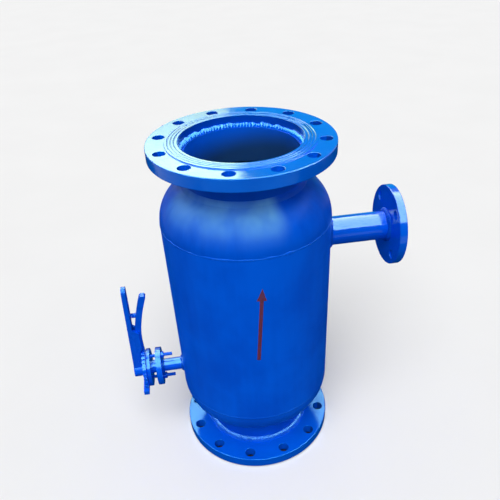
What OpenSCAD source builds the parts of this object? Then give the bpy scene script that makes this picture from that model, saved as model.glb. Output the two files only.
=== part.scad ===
// Straight-through backwash filter with a hand lever.
// Water comes in at the bottom flange and leaves at the top one.
// It passes outwards through two slotted baskets lined with mesh.
// A butterfly disc between the baskets is turned by the lever, which sends
// the flow backwards through the upper basket and out of the drain branch.
// Origin: centre of the bottom sealing face. +Z is up along the flow.
// The drain points along +X and the lever stands on the -X side.

/* [Main flanges] */
// Outside diameter of the two pipe flanges
flange_d = 335; // [330:1:345]
// Thickness of the flange rim
flange_rim = 23; // [20:1:28]
// Height of the raised sealing face
face_rise = 2; // [1:0.5:3]
// Distance from the bolt circle to the flange's edge
bolt_edge = 20; // [18:0.5:21]
// Diameter of each bolt hole
bolt_hole = 22; // [18:1:24]
// Number of bolt holes, which straddle the branch axis
bolt_count = 12; // [8:4:12]
// Gap between the bolt holes and the raised sealing face
face_gap = 2.5; // [2:0.5:4]
// Depth of the sealing grooves
groove_depth = 1; // [0.5:0.1:1.5]

/* [Vessel] */
// Height from one sealing face to the other
total_h = 704; // [680:1:780]
// Outside diameter of the shell
shell_d = 325; // [320:1:332]
// Wall of the shell and the heads
shell_t = 8; // [6:1:10]
// Height of the lower shell seam above the bottom face
lower_seam = 157; // [150:1:165]
// Depth of the upper shell seam below the top face
seam_drop = 151; // [145:1:160]
// Outside diameter of the two necks
neck_d = 219; // [216:1:221]
// Wall of the necks
neck_t = 6; // [5:0.5:7]
// Depth of the neck's end below the sealing face
neck_recess = 21; // [16:1:23]
// Outer radius of the knuckle of each head
knuckle_r = 78; // [74:1:80]
// Angle the knuckle turns through before the cone, in degrees
knuckle_turn = 58; // [54:1:62]

/* [Drain branch] */
// Depth of the drain axis below the upper seam
drain_drop = 59; // [56:1:70]
// Distance from the shell to the drain's sealing face
drain_out = 137.5; // [125:0.5:160]
// Outside diameter of the drain pipe
drain_d = 57; // [50:1:60]
// Wall of the drain pipe
drain_t = 4; // [3:0.5:5]
// Outside diameter of the drain flange
drain_flange_d = 160; // [155:1:165]
// Thickness of the drain flange rim
drain_rim = 16; // [14:1:20]
// Distance from the drain bolt circle to the flange's edge
drain_edge = 17.5; // [16:0.5:18]
// Diameter of each drain bolt hole
drain_hole = 18; // [14:1:19]
// Number of drain bolt holes
drain_holes = 4; // [4:4:8]
// Gap between the drain bolt holes and the raised face
drain_face_gap = 3.5; // [3:0.5:6]

/* [Diverter] */
// Height of the stem axis above the lower seam
stem_rise = 38; // [36:1:46]
// Diameter of the stem
stem_d = 16; // [14:0.5:18]
// Wall of the seat ring
seat_wall = 14.5; // [13:0.5:16]
// Height of the seat ring
seat_h = 40; // [36:1:44]
// Thickness of the disc
disc_t = 10; // [8:1:12]
// Radial gap from the disc to the seat ring
disc_gap = 0.5; // [0.4:0.1:0.8]
// Radial running clearance of the stem
stem_clear = 0.05; // [0.03:0.01:0.08]

/* [Baskets] */
// Height of the inlet neck's upper end, where the lower basket stands
basket_foot = 100; // [96:1:104]
// Thickness of the slotted basket wall
basket_t = 3; // [2:0.5:3]
// Thickness of the mesh lining
mesh_t = 1.5; // [1:0.5:2]
// Number of slots around a basket
slot_count = 24; // [18:2:28]
// Width of each slot
slot_w = 12; // [8:1:14]
// How far the plain drain collar reaches below the drain axis
collar_below = 42; // [36:1:50]
// How far the plain drain collar reaches above the drain axis
collar_above = 38; // [34:1:42]
// Thickness of the plate that closes the collar
cap_t = 8; // [6:1:10]

/* [Stem sleeve and bonnet] */
// Outside diameter of the stem sleeve
sleeve_d = 28; // [26:0.5:30]
// Distance from the shell to the sleeve flange
sleeve_out = 45.5; // [38:0.5:52]
// Diameter of the sleeve flange and the bonnet flange
bonnet_d = 84; // [80:1:86]
// Thickness of the sleeve flange
sleeve_flange_t = 12; // [10:1:14]
// Length of the bonnet neck between the flanges
bonnet_neck = 12; // [10:1:14]
// Thickness of the bonnet flange
bonnet_t = 8; // [7:1:10]
// Distance from the stud circle to the flange's edge
stud_edge = 10.5; // [9.5:0.5:12]
// Diameter of the studs
stud_d = 8; // [6:0.5:8]
// How far the studs stand past the sleeve flange
stud_out = 25; // [18:1:28]

/* [Notch plate] */
// Thickness of the notch plate
plate_t = 7; // [6:0.5:8]
// Radius of the notched fan
fan_r = 56; // [54:0.5:56]
// Number of notches in the quarter turn
notch_count = 10; // [7:1:10]
// Width of each notch
notch_w = 4.6; // [4:0.2:5]
// Reach of the stop bar from the stem axis
stop_reach = 62; // [58:1:70]
// Height of the stop bar
stop_h = 10; // [8:1:12]
// How far the stop bar stands out of the plate, into the lever's path
stop_proud = 4.5; // [3:0.5:6]

/* [Lever] */
// Height of the lever's tip above the stem axis
lever_top = 223; // [218:1:230]
// Width of the lever
lever_w = 23; // [22:0.5:25]
// Radius of the lever's hub
hub_r = 17; // [16:0.5:19]
// Depth of the lever's hub along the stem
hub_depth = 22; // [20:0.5:24]
// How far the lever leans towards the vessel at its tip
lever_lean = 9.5; // [8:0.5:10]
// Thickness of the web at the back of the channel
web_t = 4.5; // [4:0.5:5]
// Thickness of the trigger's blade
trigger_w = 10; // [9:0.5:10.5]
// Gap on each side of the trigger's blade
trigger_gap = 0.3; // [0.2:0.05:0.4]
// Diameter of the trigger's pivot pin
trigger_pin_d = 6; // [5:0.5:6.5]

/* [Hidden] */
$fn = 96;
eps = 0.01;

flange_t = flange_rim + face_rise;
bolt_circle = flange_d - 2 * bolt_edge;
face_d = bolt_circle - bolt_hole - 2 * face_gap;
shell_r = shell_d / 2;
shell_in = shell_r - shell_t;
neck_r = neck_d / 2;
neck_in = neck_r - neck_t;
slip_gap = 1.5;
flange_bore = neck_d + 2 * slip_gap;
groove_step = (face_d - flange_bore) / 8;
rim_edge = 1;

knuckle_in = shell_r - knuckle_r;
cone_r = knuckle_in + knuckle_r * cos(knuckle_turn);
cone_z = knuckle_r * sin(knuckle_turn);
cone_slope = 1 / tan(knuckle_turn);
head_h = cone_z + (cone_r - neck_r) * cone_slope;
neck_top = total_h - neck_recess;
upper_seam = total_h - seam_drop;
neck_depth = 6;

fillet = 8;
seam_bead_w = 5;
seam_bead_h = 0.6;

drain_z = upper_seam - drain_drop;
drain_reach = shell_r + drain_out;
drain_circle = drain_flange_d - 2 * drain_edge;
drain_face_d = drain_circle - drain_hole - 2 * drain_face_gap;
drain_r = drain_d / 2;
drain_in = drain_r - drain_t;
drain_bore = drain_r + 1;
drain_back = drain_reach - face_rise - drain_rim;
drain_recess = 7;
drain_end = drain_reach - drain_recess;
drain_leg = 6;

stem_z = lower_seam + stem_rise;
stem_r = stem_d / 2;
stem_bore = stem_r + stem_clear;
seat_r = neck_r - seat_wall;
disc_r = sqrt(pow(seat_r - disc_gap, 2) - pow(disc_t / 2, 2));
bush_t = 4;
bush_set = 1;
bush_r = stem_r + bush_t;
boss_t = 5;
boss_r = bush_r + boss_t;
boss_out = 16;
boss_reach = neck_r + boss_out;
boss_wall = 5;
disc_hub_t = 8;
disc_hub_r = stem_r + disc_hub_t;
disc_hub_x = sqrt(pow(seat_r - disc_gap, 2) - pow(disc_hub_r, 2));
stem_gap = 2;
stem_end = boss_reach - boss_wall - stem_gap;
disc_pin_r = 3;
disc_pin_proud = 1.5;
disc_pin_x = seat_r * 0.45;

seat_low = stem_z - seat_h / 2;
seat_high = stem_z + seat_h / 2;
basket_in = neck_r - basket_t;
mesh_gap = 0.1;
mesh_out = basket_in - mesh_gap;
slot_rib = 9;
collar_low = drain_z - collar_below;
collar_high = drain_z + collar_above;

sleeve_r = sleeve_d / 2;
box_wall = 3.5;
box_r = sleeve_r - box_wall;
sleeve_in = 5;
sleeve_foot = shell_in - sleeve_in;
sleeve_reach = shell_r + sleeve_out;
sleeve_end = sleeve_reach + sleeve_flange_t;
sleeve_leg = 4;
packing_h = 7;
packing_gap = 0.2;
packing_count = 3;
packing_depth = 23;
packing_low = sleeve_reach - packing_depth;
packing_high = packing_low + packing_count * packing_h;
bonnet_face = sleeve_end + bonnet_neck;
plate_face = bonnet_face + bonnet_t;
lever_side = plate_face + plate_t;
bonnet_r = bonnet_d / 2;
bonnet_step = 0.5;
stud_circle = bonnet_d - 2 * stud_edge;
stud_r = stud_d / 2;
stud_gap = 0.5;
stud_floor = 1;
nut_h = stud_d * 0.8;
nut_r = stud_d * 0.94;
screw_r = 3;
screw_head_r = 5.6;
screw_floor = 1;
plate_edge = 2;
plate_gap = 1.5;
fan_start = -8;
fan_end = 98;
notch_depth = 5;

hub_gap = 0.8;
hub_clear = 5;
hub_face = lever_side + hub_gap;
lever_out = hub_face + hub_depth;
stop_gap = 0.8;
square_w = stem_d * 0.7;
recess_r = 12;
recess_depth = 5;
washer_r = 11;
washer_t = 1.6;
screw_top = 3;
lever_screw_r = 4;
grip_t = 9.5;
cheek_top = 118;
cheek_rise = 24;
cheek_slope = 10;
cheek_depth = 4.8;
cheek_in = hub_face - cheek_depth;
cheek_gap = 2;
slot_low = 20;
slot_end = 10;
pin_depth = 6;
pin_s = hub_face + pin_depth;
pin_u = 30;
pin_r = trigger_pin_d / 2;
pin_clear = 0.05;
boss_trigger_t = 2.5;
boss_trigger = pin_r + boss_trigger_t;
tooth_gap = 0.4;
tooth_drop = 2;
tooth_rise = 2.5;
trigger_short = 23;
trigger_top = lever_top - trigger_short;
trigger_sweep = 26.2;
blade_low = 82;
blade_depth = 13.5;
blade_inset = 7.8;
tip_edge = 4;
pad_low = 172;
pad_side = 2;
spring_u = 150;
spring_r = 4.4;
spring_wire = 0.8;
spring_gap = 0.3;

// Tube along Z from one height to another
module tube(outer, inner, low, high) {
    difference() {
        translate([0, 0, low]) cylinder(r = outer, h = high - low);
        translate([0, 0, low - 1]) cylinder(r = inner, h = high - low + 2);
    }
}

// Turned ring about Z with a polygon section
module ring(points) {
    rotate_extrude() polygon(points);
}

// Stands the local Z axis along the stem, outwards from the vessel; local X is then up
module along_stem() {
    translate([0, 0, stem_z]) rotate([0, -90, 0]) children();
}

// Stands the local Z axis along the drain, outwards from the vessel
module along_drain() {
    translate([0, 0, drain_z]) rotate([0, 90, 0]) children();
}

// Extrudes a side view, drawn as outward distance and height above the stem
module side_view(width) {
    translate([0, 0, stem_z]) rotate([90, 0, 0])
        linear_extrude(height = width, center = true) mirror([1, 0, 0]) children();
}

// Slip-on flange with its sealing face down at z = 0
module slip_flange(od, rim, face, bore, circle, hole, count) {
    top = face_rise + rim;
    difference() {
        ring([
            [bore, 0],
            [face / 2, 0],
            [face / 2, face_rise],
            [od / 2 - rim_edge, face_rise],
            [od / 2, face_rise + rim_edge],
            [od / 2, top - rim_edge],
            [od / 2 - rim_edge, top],
            [bore, top]
        ]);
        for (i = [0 : count - 1])
            rotate([0, 0, (i + 0.5) * 360 / count])
                translate([circle / 2, 0, -1]) cylinder(d = hole, h = top + 2);
    }
}

// Sealing groove of a triangular section, cut into a face at z = 0
module groove(radius) {
    ring([
        [radius - groove_depth, -eps],
        [radius + groove_depth, -eps],
        [radius, groove_depth]
    ]);
}

// Pipe flange with three sealing grooves
module main_flange() {
    difference() {
        slip_flange(flange_d, flange_rim, face_d, flange_bore / 2, bolt_circle, bolt_hole, bolt_count);
        for (k = [1 : 3])
            groove(flange_bore / 2 + k * groove_step);
    }
}

// Solid of a dished head standing on z = 0, grown inwards by a wall
module head_section(wall) {
    r = knuckle_r - wall;
    edge_r = knuckle_in + r * cos(knuckle_turn);
    edge_z = r * sin(knuckle_turn);
    intersection() {
        union() {
            translate([knuckle_in, 0]) circle(r = r);
            polygon([
                [neck_r, -1],
                [knuckle_in + r - 0.5, -1],
                [knuckle_in + r * 0.9, 0],
                [edge_r, edge_z],
                [neck_r - 1, edge_z + (edge_r - neck_r + 1) * cone_slope],
                [neck_r - 1, -1]
            ]);
        }
        translate([neck_r, wall > 0 ? -1 : 0]) square([shell_r, shell_r]);
    }
}

// Dished head with its open edge down at z = 0 and a hole for the neck
module dished_head() {
    rotate_extrude() difference() {
        head_section(0);
        head_section(shell_t);
    }
}

// Bead over a shell seam at z = 0
module seam_bead() {
    ring([
        [shell_r, -seam_bead_w / 2],
        [shell_r + seam_bead_h, -seam_bead_w / 4],
        [shell_r + seam_bead_h, seam_bead_w / 4],
        [shell_r, seam_bead_w / 2]
    ]);
}

// Fillet bead round a tube, lying on a face at z = 0
module fillet_bead(radius, leg) {
    ring([[radius, 0], [radius + leg, 0], [radius, leg]]);
}

// Fillet bead inside a flange bore, with its throat up
module inner_bead(outer, inner, low, leg) {
    ring([[inner, low], [outer, low], [outer, low + leg]]);
}

// Bead where a neck leaves the cone of a head, with the head's edge at z = 0
module neck_bead() {
    leg = fillet * 0.8;
    ring([[neck_r, head_h], [neck_r + leg, head_h - leg * cone_slope], [neck_r, head_h + leg]]);
}

// Saddle bead round a branch of a given radius, along local Z
module branch_bead(radius, leg) {
    difference() {
        translate([0, 0, shell_r - 2 * leg])
            cylinder(r1 = radius + 3 * leg, r2 = radius - 1, h = 3 * leg + 1, $fn = 240);
        translate([0, 0, -1]) cylinder(r = radius, h = shell_r * 2, $fn = 240);
        rotate([0, 90, 0]) translate([0, 0, -shell_r]) cylinder(r = shell_r, h = shell_d, $fn = 720);
    }
}

// Slotted tube between two heights with a number of slot rows
module slotted_tube(low, high, rows) {
    pitch = (high - low - slot_rib) / rows;
    difference() {
        tube(neck_r, basket_in, low, high);
        for (row = [0 : rows - 1])
            for (i = [0 : slot_count - 1])
                rotate([0, 0, (i + 0.5) * 360 / slot_count])
                    translate([basket_in - 2, -slot_w / 2, low + slot_rib + row * pitch])
                        cube([basket_t + 4, slot_w, pitch - slot_rib]);
    }
}

// Shell
module shell() {
    color("royalblue") difference() {
        tube(shell_r, shell_in, lower_seam, upper_seam);
        along_drain() cylinder(r = drain_r, h = shell_d);
        along_stem() cylinder(r = sleeve_r, h = shell_d);
    }
}

// Heads
module upper_head() {
    color("royalblue") translate([0, 0, upper_seam]) dished_head();
}

module lower_head() {
    color("royalblue") translate([0, 0, lower_seam]) mirror([0, 0, 1]) dished_head();
}

module upper_seam_weld() {
    color("royalblue") translate([0, 0, upper_seam]) seam_bead();
}

module lower_seam_weld() {
    color("royalblue") translate([0, 0, lower_seam]) seam_bead();
}

// Necks
module outlet_neck() {
    color("mediumblue") tube(neck_r, neck_in, upper_seam + head_h - shell_t - neck_depth, neck_top);
}

module inlet_neck() {
    color("mediumblue") tube(neck_r, neck_in, neck_recess, basket_foot);
}

module upper_neck_weld() {
    color("royalblue") translate([0, 0, upper_seam]) neck_bead();
}

module lower_neck_weld() {
    color("royalblue") translate([0, 0, lower_seam]) mirror([0, 0, 1]) neck_bead();
}

// Pipe flanges
module outlet_flange() {
    color("dodgerblue") translate([0, 0, total_h]) mirror([0, 0, 1]) main_flange();
}

module inlet_flange() {
    color("dodgerblue") main_flange();
}

module outlet_inner_weld() {
    color("dodgerblue") inner_bead(flange_bore / 2, neck_in + 0.5, neck_top, fillet - 2);
}

module inlet_inner_weld() {
    color("dodgerblue") translate([0, 0, neck_recess]) mirror([0, 0, 1])
        inner_bead(flange_bore / 2, neck_in + 0.5, 0, fillet - 2);
}

module outlet_outer_weld() {
    color("dodgerblue") translate([0, 0, total_h - flange_t]) mirror([0, 0, 1])
        fillet_bead(neck_r, fillet);
}

module inlet_outer_weld() {
    color("dodgerblue") translate([0, 0, flange_t]) fillet_bead(neck_r, fillet);
}

// Drain branch, from the collar wall to the flange
module drain_pipe() {
    color("royalblue") difference() {
        along_drain() tube(drain_r, drain_in, 0, drain_end);
        translate([0, 0, drain_z - drain_d]) cylinder(r = neck_r, h = 2 * drain_d);
    }
}

module drain_flange() {
    color("royalblue") along_drain() translate([0, 0, drain_reach]) mirror([0, 0, 1])
        slip_flange(
            drain_flange_d, drain_rim, drain_face_d, drain_bore, drain_circle, drain_hole, drain_holes
        );
}

module drain_branch_weld() {
    color("royalblue") along_drain() branch_bead(drain_r, drain_leg);
}

module drain_back_weld() {
    color("royalblue") along_drain() translate([0, 0, drain_back]) mirror([0, 0, 1])
        fillet_bead(drain_r, drain_leg);
}

module drain_inner_weld() {
    color("royalblue") along_drain() inner_bead(drain_bore, drain_in + 0.5, drain_end, drain_leg - 1);
}

// Stem sleeve with its stuffing box at the outer end
module stem_sleeve() {
    color("royalblue") along_stem() difference() {
        tube(sleeve_r, stem_r + box_wall / 3, sleeve_foot, sleeve_end);
        translate([0, 0, packing_low]) cylinder(r = box_r, h = sleeve_end);
    }
}

module sleeve_flange() {
    color("royalblue") along_stem() difference() {
        tube(bonnet_r, sleeve_r, sleeve_reach, sleeve_end);
        for (i = [0 : 1])
            rotate([0, 0, i * 180]) translate([stud_circle / 2, 0, 0])
                cylinder(r = stud_r + stud_gap, h = sleeve_end + 1);
    }
}

module sleeve_branch_weld() {
    color("royalblue") along_stem() branch_bead(sleeve_r, sleeve_leg);
}

module sleeve_flange_weld() {
    color("royalblue") along_stem() translate([0, 0, sleeve_reach]) mirror([0, 0, 1])
        fillet_bead(sleeve_r, sleeve_leg);
}

// Packing that seals the stem
module packing_rings() {
    color("dimgray") along_stem()
        for (i = [0 : packing_count - 1])
            translate([0, 0, packing_low + i * packing_h])
                tube(box_r - stem_clear, stem_bore, 0, packing_h - packing_gap);
}

// Bonnet, whose nose holds the packing in
module bonnet() {
    color("royalblue") along_stem() difference() {
        union() {
            translate([0, 0, packing_high])
                cylinder(r = box_r - 2 * stem_clear, h = sleeve_end - packing_high + 1);
            translate([0, 0, sleeve_end]) cylinder(r = sleeve_r + bonnet_step, h = bonnet_neck + 1);
            translate([0, 0, bonnet_face]) cylinder(r = bonnet_r, h = bonnet_t);
        }
        cylinder(r = stem_bore, h = plate_face + 1);
        for (i = [0 : 1])
            rotate([0, 0, i * 180]) translate([stud_circle / 2, 0, 0])
                cylinder(r = stud_r, h = plate_face - stud_floor);
        for (i = [0 : 3])
            rotate([0, 0, i * 90 + 45]) translate([stud_circle / 2, 0, bonnet_face + screw_floor])
                cylinder(r = screw_r, h = bonnet_t);
    }
}

module bonnet_studs() {
    color("royalblue") along_stem()
        for (i = [0 : 1])
            rotate([0, 0, i * 180]) translate([stud_circle / 2, 0, sleeve_reach - stud_out])
                cylinder(r = stud_r, h = plate_face - stud_floor - sleeve_reach + stud_out);
}

module bonnet_nuts() {
    color("royalblue") along_stem()
        for (i = [0 : 1])
            rotate([0, 0, i * 180]) translate([stud_circle / 2, 0, sleeve_reach - nut_h]) difference() {
                cylinder(r = nut_r, h = nut_h, $fn = 6);
                translate([0, 0, -1]) cylinder(r = stud_r, h = nut_h + 2);
            }
}

// Fan of the notch plate between two angles from upright, towards -Y
module fan(from, to) {
    reach = fan_r * 3;
    intersection() {
        circle(r = fan_r);
        polygon([
            [0, 0],
            [reach * cos(from), -reach * sin(from)],
            [reach * cos((from + to) / 2), -reach * sin((from + to) / 2)],
            [reach * cos(to), -reach * sin(to)]
        ]);
    }
}

// Notch plate with the stop bar for the closed lever
module notch_plate() {
    stop_top = lever_w / 2 + stop_gap;
    color("royalblue") along_stem() difference() {
        union() {
            translate([0, 0, plate_face]) linear_extrude(height = plate_t) difference() {
                union() {
                    circle(r = bonnet_r - plate_edge);
                    fan(fan_start, fan_end);
                    translate([-stop_top - stop_h, -stop_reach]) square([stop_h, stop_reach]);
                }
                for (i = [0 : notch_count - 1])
                    rotate([0, 0, -i * 90 / (notch_count - 1)])
                        translate([fan_r - notch_depth, -notch_w / 2]) square([notch_depth * 2, notch_w]);
            }
            translate([-stop_top - stop_h, -stop_reach, lever_side - 1])
                cube([stop_h, stop_reach - hub_r - hub_clear, stop_proud + 1]);
        }
        translate([0, 0, plate_face - 1]) cylinder(r = stem_r + plate_gap, h = plate_t + 2);
        for (i = [0 : 3])
            rotate([0, 0, i * 90 + 45]) translate([stud_circle / 2, 0, plate_face - 1]) {
                cylinder(r = screw_r, h = plate_t + 2);
                translate([0, 0, plate_t + 1 - screw_head_r + screw_r])
                    cylinder(r1 = screw_r, r2 = screw_head_r, h = screw_head_r - screw_r + eps);
            }
    }
}

module plate_screws() {
    head_h = screw_head_r - screw_r;
    color("royalblue") along_stem()
        for (i = [0 : 3])
            rotate([0, 0, i * 90 + 45]) translate([stud_circle / 2, 0, 0]) {
                translate([0, 0, bonnet_face + 1.5 * screw_floor])
                    cylinder(r = screw_r, h = lever_side - bonnet_face - 1.5 * screw_floor - head_h);
                translate([0, 0, lever_side - head_h])
                    cylinder(r1 = screw_r, r2 = screw_head_r - 0.1, h = head_h - 0.1);
            }
}

// Seat ring that carries the stem in two bushes
module seat_ring() {
    color("silver") difference() {
        union() {
            translate([0, 0, seat_low]) cylinder(r = neck_r, h = seat_h);
            along_stem() cylinder(r = boss_r, h = boss_reach);
            along_stem() mirror([0, 0, 1]) cylinder(r = boss_r, h = boss_reach);
        }
        translate([0, 0, seat_low - 1]) cylinder(r = seat_r, h = seat_h + 2);
        along_stem() cylinder(r = bush_r, h = boss_reach + 1);
        along_stem() mirror([0, 0, 1]) cylinder(r = bush_r, h = boss_reach - boss_wall);
    }
}

module near_bush() {
    color("darkgoldenrod") along_stem() tube(bush_r, stem_bore, seat_r + bush_set, boss_reach);
}

module far_bush() {
    color("darkgoldenrod") along_stem() mirror([0, 0, 1])
        tube(bush_r, stem_bore, seat_r + bush_set, boss_reach - boss_wall);
}

// Baskets and their mesh linings
module lower_basket() {
    color("silver") slotted_tube(basket_foot, seat_low, 1);
}

module lower_mesh() {
    color("gainsboro") tube(mesh_out, mesh_out - mesh_t, basket_foot, seat_low);
}

module upper_basket() {
    color("silver") slotted_tube(seat_high, collar_low, 4);
}

module upper_mesh() {
    color("gainsboro") tube(mesh_out, mesh_out - mesh_t, seat_high, collar_low);
}

// Plain collar above the upper basket, where the drain leaves
module drain_collar() {
    color("silver") difference() {
        tube(neck_r, neck_in, collar_low, collar_high);
        along_drain() cylinder(r = drain_in, h = shell_d);
    }
}

module collar_cap() {
    lip = 3;
    color("silver") translate([0, 0, collar_high]) ring([
        [0, 0],
        [neck_r + lip, 0],
        [neck_r + lip, cap_t - 2],
        [neck_r + lip - 2, cap_t],
        [0, cap_t]
    ]);
}

// Guides that centre the collar in the shell
module collar_guides() {
    guide_h = 24;
    color("silver") for (angle = [90, 210, 330])
        rotate([0, 0, angle]) intersection() {
            translate([neck_r - 1, -2.5, collar_low + 6]) cube([shell_in - neck_r + 2, 5, guide_h]);
            tube(shell_in, neck_r, collar_low, collar_high);
        }
}

// Stem, from the lever's square to the far bush
module stem() {
    color("lightsteelblue") along_stem() difference() {
        union() {
            translate([0, 0, -stem_end]) cylinder(r = stem_r, h = stem_end + lever_side);
            translate([-square_w / 2, -square_w / 2, lever_side - 1])
                cube([square_w, square_w, lever_out - recess_depth - 0.5 - lever_side + 1]);
        }
        translate([0, 0, lever_side - 4]) cylinder(r = lever_screw_r, h = lever_out);
        for (s = [-1, 1])
            translate([0, 0, s * disc_pin_x]) rotate([90, 0, 0])
                cylinder(r = disc_pin_r, h = 4 * stem_d, center = true);
    }
}

// Butterfly disc with flats at its hub ends, open at rest, so it stands edge-on to the flow
module disc() {
    color("silver") difference() {
        union() {
            translate([0, 0, stem_z]) rotate([90, 0, 0]) cylinder(r = disc_r, h = disc_t, center = true);
            along_stem() cylinder(r = disc_hub_r, h = 2 * disc_hub_x, center = true);
        }
        along_stem() cylinder(r = stem_r, h = 3 * seat_r, center = true);
        for (s = [-1, 1]) {
            translate([s * disc_pin_x, 0, stem_z]) rotate([90, 0, 0])
                cylinder(r = disc_pin_r, h = 4 * disc_hub_r, center = true);
            translate([s * (disc_hub_x + disc_hub_r), 0, stem_z])
                cube([2 * disc_hub_r, 4 * disc_hub_r, 3 * disc_hub_r], center = true);
        }
    }
}

module disc_pins() {
    color("dimgray") for (s = [-1, 1])
        translate([s * disc_pin_x, 0, stem_z]) rotate([90, 0, 0])
            cylinder(r = disc_pin_r, h = 2 * disc_hub_r + 2 * disc_pin_proud, center = true);
}

// Outward distance of the lever's outer face at a height above the stem
function outer_s(u) = lever_out - lever_lean * max(u, 0) / lever_top;

// Side view of the lever's bar and cheeks
module lever_side_view() {
    polygon([
        [outer_s(0), 0],
        [outer_s(lever_top), lever_top],
        [outer_s(lever_top) - 0.9 * grip_t, lever_top],
        [outer_s(cheek_top + cheek_rise) - grip_t, cheek_top + cheek_rise],
        [outer_s(cheek_top) - grip_t, cheek_top],
        [cheek_in, cheek_top - cheek_slope],
        [cheek_in, fan_r + 4 * cheek_gap],
        [hub_face, fan_r + cheek_gap],
        [hub_face, 0]
    ]);
}

// Channel in the lever for the trigger's blade
module channel_side_view() {
    polygon([
        [outer_s(slot_low) - web_t, slot_low],
        [outer_s(lever_top - slot_end) - web_t, lever_top - slot_end],
        [hub_face - 2 * hub_depth, lever_top - slot_end],
        [hub_face - 2 * hub_depth, slot_low]
    ]);
}

// Outline of the lever seen along the stem, drawn with local X up
module lever_front_view() {
    circle(r = hub_r);
    translate([0, -lever_w / 2]) square([lever_top - lever_w / 2, lever_w]);
    translate([lever_top - lever_w / 2, 0]) circle(d = lever_w);
}

module lever() {
    color("royalblue") difference() {
        union() {
            intersection() {
                side_view(lever_w * 3) lever_side_view();
                along_stem() linear_extrude(height = lever_out + 1) lever_front_view();
            }
            along_stem() translate([0, 0, hub_face]) cylinder(r = hub_r, h = hub_depth);
        }
        side_view(trigger_w + 2 * trigger_gap) channel_side_view();
        along_stem() translate([-square_w / 2 - 0.05, -square_w / 2 - 0.05, hub_face - 1])
            cube([square_w + 0.1, square_w + 0.1, hub_depth + 2]);
        along_stem() translate([0, 0, lever_out - recess_depth]) cylinder(r = recess_r, h = recess_depth + 1);
        along_stem() translate([pin_u, 0, pin_s]) rotate([90, 0, 0])
            cylinder(r = pin_r, h = lever_w * 2, center = true);
    }
}

module lever_washer() {
    color("lightsteelblue") along_stem()
        tube(washer_r, lever_screw_r, lever_out - recess_depth, lever_out - recess_depth + washer_t);
}

module lever_screw() {
    low = lever_out - recess_depth + washer_t;
    color("lightsteelblue") along_stem() difference() {
        union() {
            translate([0, 0, lever_side - 3]) cylinder(r = lever_screw_r, h = low - lever_side + 4);
            translate([0, 0, low]) cylinder(r = lever_screw_r + 3, h = screw_top);
        }
        translate([0, 0, low + 0.8]) cylinder(r = 2.9, h = screw_top, $fn = 6);
    }
}

module trigger_pin() {
    color("lightsteelblue") along_stem() translate([pin_u, 0, pin_s]) rotate([90, 0, 0])
        cylinder(r = pin_r, h = lever_w - 0.4, center = true);
}

// Outward distance of the inner edge of the trigger's blade, which sweeps in towards its tip
function blade_in(u) =
    hub_face - blade_inset - trigger_sweep * pow((u - blade_low) / (trigger_top - blade_low), 1.6);

// Side view of the trigger, with the tooth that drops into the notches
module trigger_side_view() {
    steps = 8;
    rise = (trigger_top - tip_edge - blade_low) / steps;
    tip_in = blade_in(trigger_top);
    polygon(concat(
        [
            [lever_side + tooth_gap, fan_r - notch_depth - tooth_drop],
            [lever_side + tooth_gap, fan_r],
            [blade_in(blade_low), fan_r + tooth_rise]
        ],
        [for (i = [0 : steps]) [blade_in(blade_low + i * rise), blade_low + i * rise]],
        [
            [tip_in + tip_edge, trigger_top],
            [tip_in + blade_depth - tip_edge / 2, trigger_top]
        ],
        [for (i = [0 : steps])
            [blade_in(trigger_top - tip_edge - i * rise) + blade_depth, trigger_top - tip_edge - i * rise]],
        [
            [pin_s + boss_trigger * 0.6, fan_r],
            [pin_s + boss_trigger * 0.9, pin_u + tooth_drop],
            [pin_s, pin_u],
            [pin_s - boss_trigger * 0.9, pin_u + tooth_drop],
            [lever_side + 2 * tooth_gap, pin_u + 2 * boss_trigger]
        ]
    ));
    translate([pin_s, pin_u]) circle(r = boss_trigger);
}

module trigger() {
    color("royalblue") difference() {
        union() {
            side_view(trigger_w) trigger_side_view();
            intersection() {
                side_view(trigger_w + 2 * pad_side) trigger_side_view();
                translate([-2 * lever_out, -lever_w, stem_z + pad_low])
                    cube([4 * lever_out, 2 * lever_w, lever_top]);
            }
        }
        along_stem() translate([pin_u, 0, pin_s]) rotate([90, 0, 0])
            cylinder(r = pin_r + pin_clear, h = lever_w * 2, center = true);
    }
}

// Return spring between the channel's floor and the trigger
module trigger_spring() {
    coils = 4;
    low = blade_in(spring_u - spring_r) + blade_depth + spring_gap;
    high = outer_s(spring_u) - web_t - spring_gap;
    pitch = (high - low - 2 * spring_wire) / (coils - 1);
    color("lightsteelblue") along_stem() translate([spring_u, 0, low]) rotate_extrude() {
        translate([spring_r - spring_wire / 2, 0]) square([spring_wire, high - low]);
        for (i = [0 : coils - 1])
            translate([spring_r, spring_wire + i * pitch]) circle(r = spring_wire, $fn = 24);
    }
}

shell();
upper_head();
lower_head();
upper_seam_weld();
lower_seam_weld();
outlet_neck();
inlet_neck();
outlet_flange();
inlet_flange();
outlet_inner_weld();
outlet_outer_weld();
inlet_inner_weld();
inlet_outer_weld();
upper_neck_weld();
lower_neck_weld();
drain_pipe();
drain_flange();
drain_branch_weld();
drain_back_weld();
drain_inner_weld();
stem_sleeve();
sleeve_flange();
sleeve_branch_weld();
sleeve_flange_weld();
packing_rings();
bonnet();
bonnet_studs();
bonnet_nuts();
notch_plate();
plate_screws();
seat_ring();
near_bush();
far_bush();
lower_basket();
lower_mesh();
upper_basket();
upper_mesh();
drain_collar();
collar_cap();
collar_guides();
stem();
disc();
disc_pins();
lever();
lever_washer();
lever_screw();
trigger_pin();
trigger_spring();
trigger();
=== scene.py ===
"""Looks of a hand-lever backwash filter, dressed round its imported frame."""

import logging
import math
from dataclasses import dataclass, replace
from enum import Enum

import bmesh
import bpy
import numpy as np
from mathutils import Matrix, Vector


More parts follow.
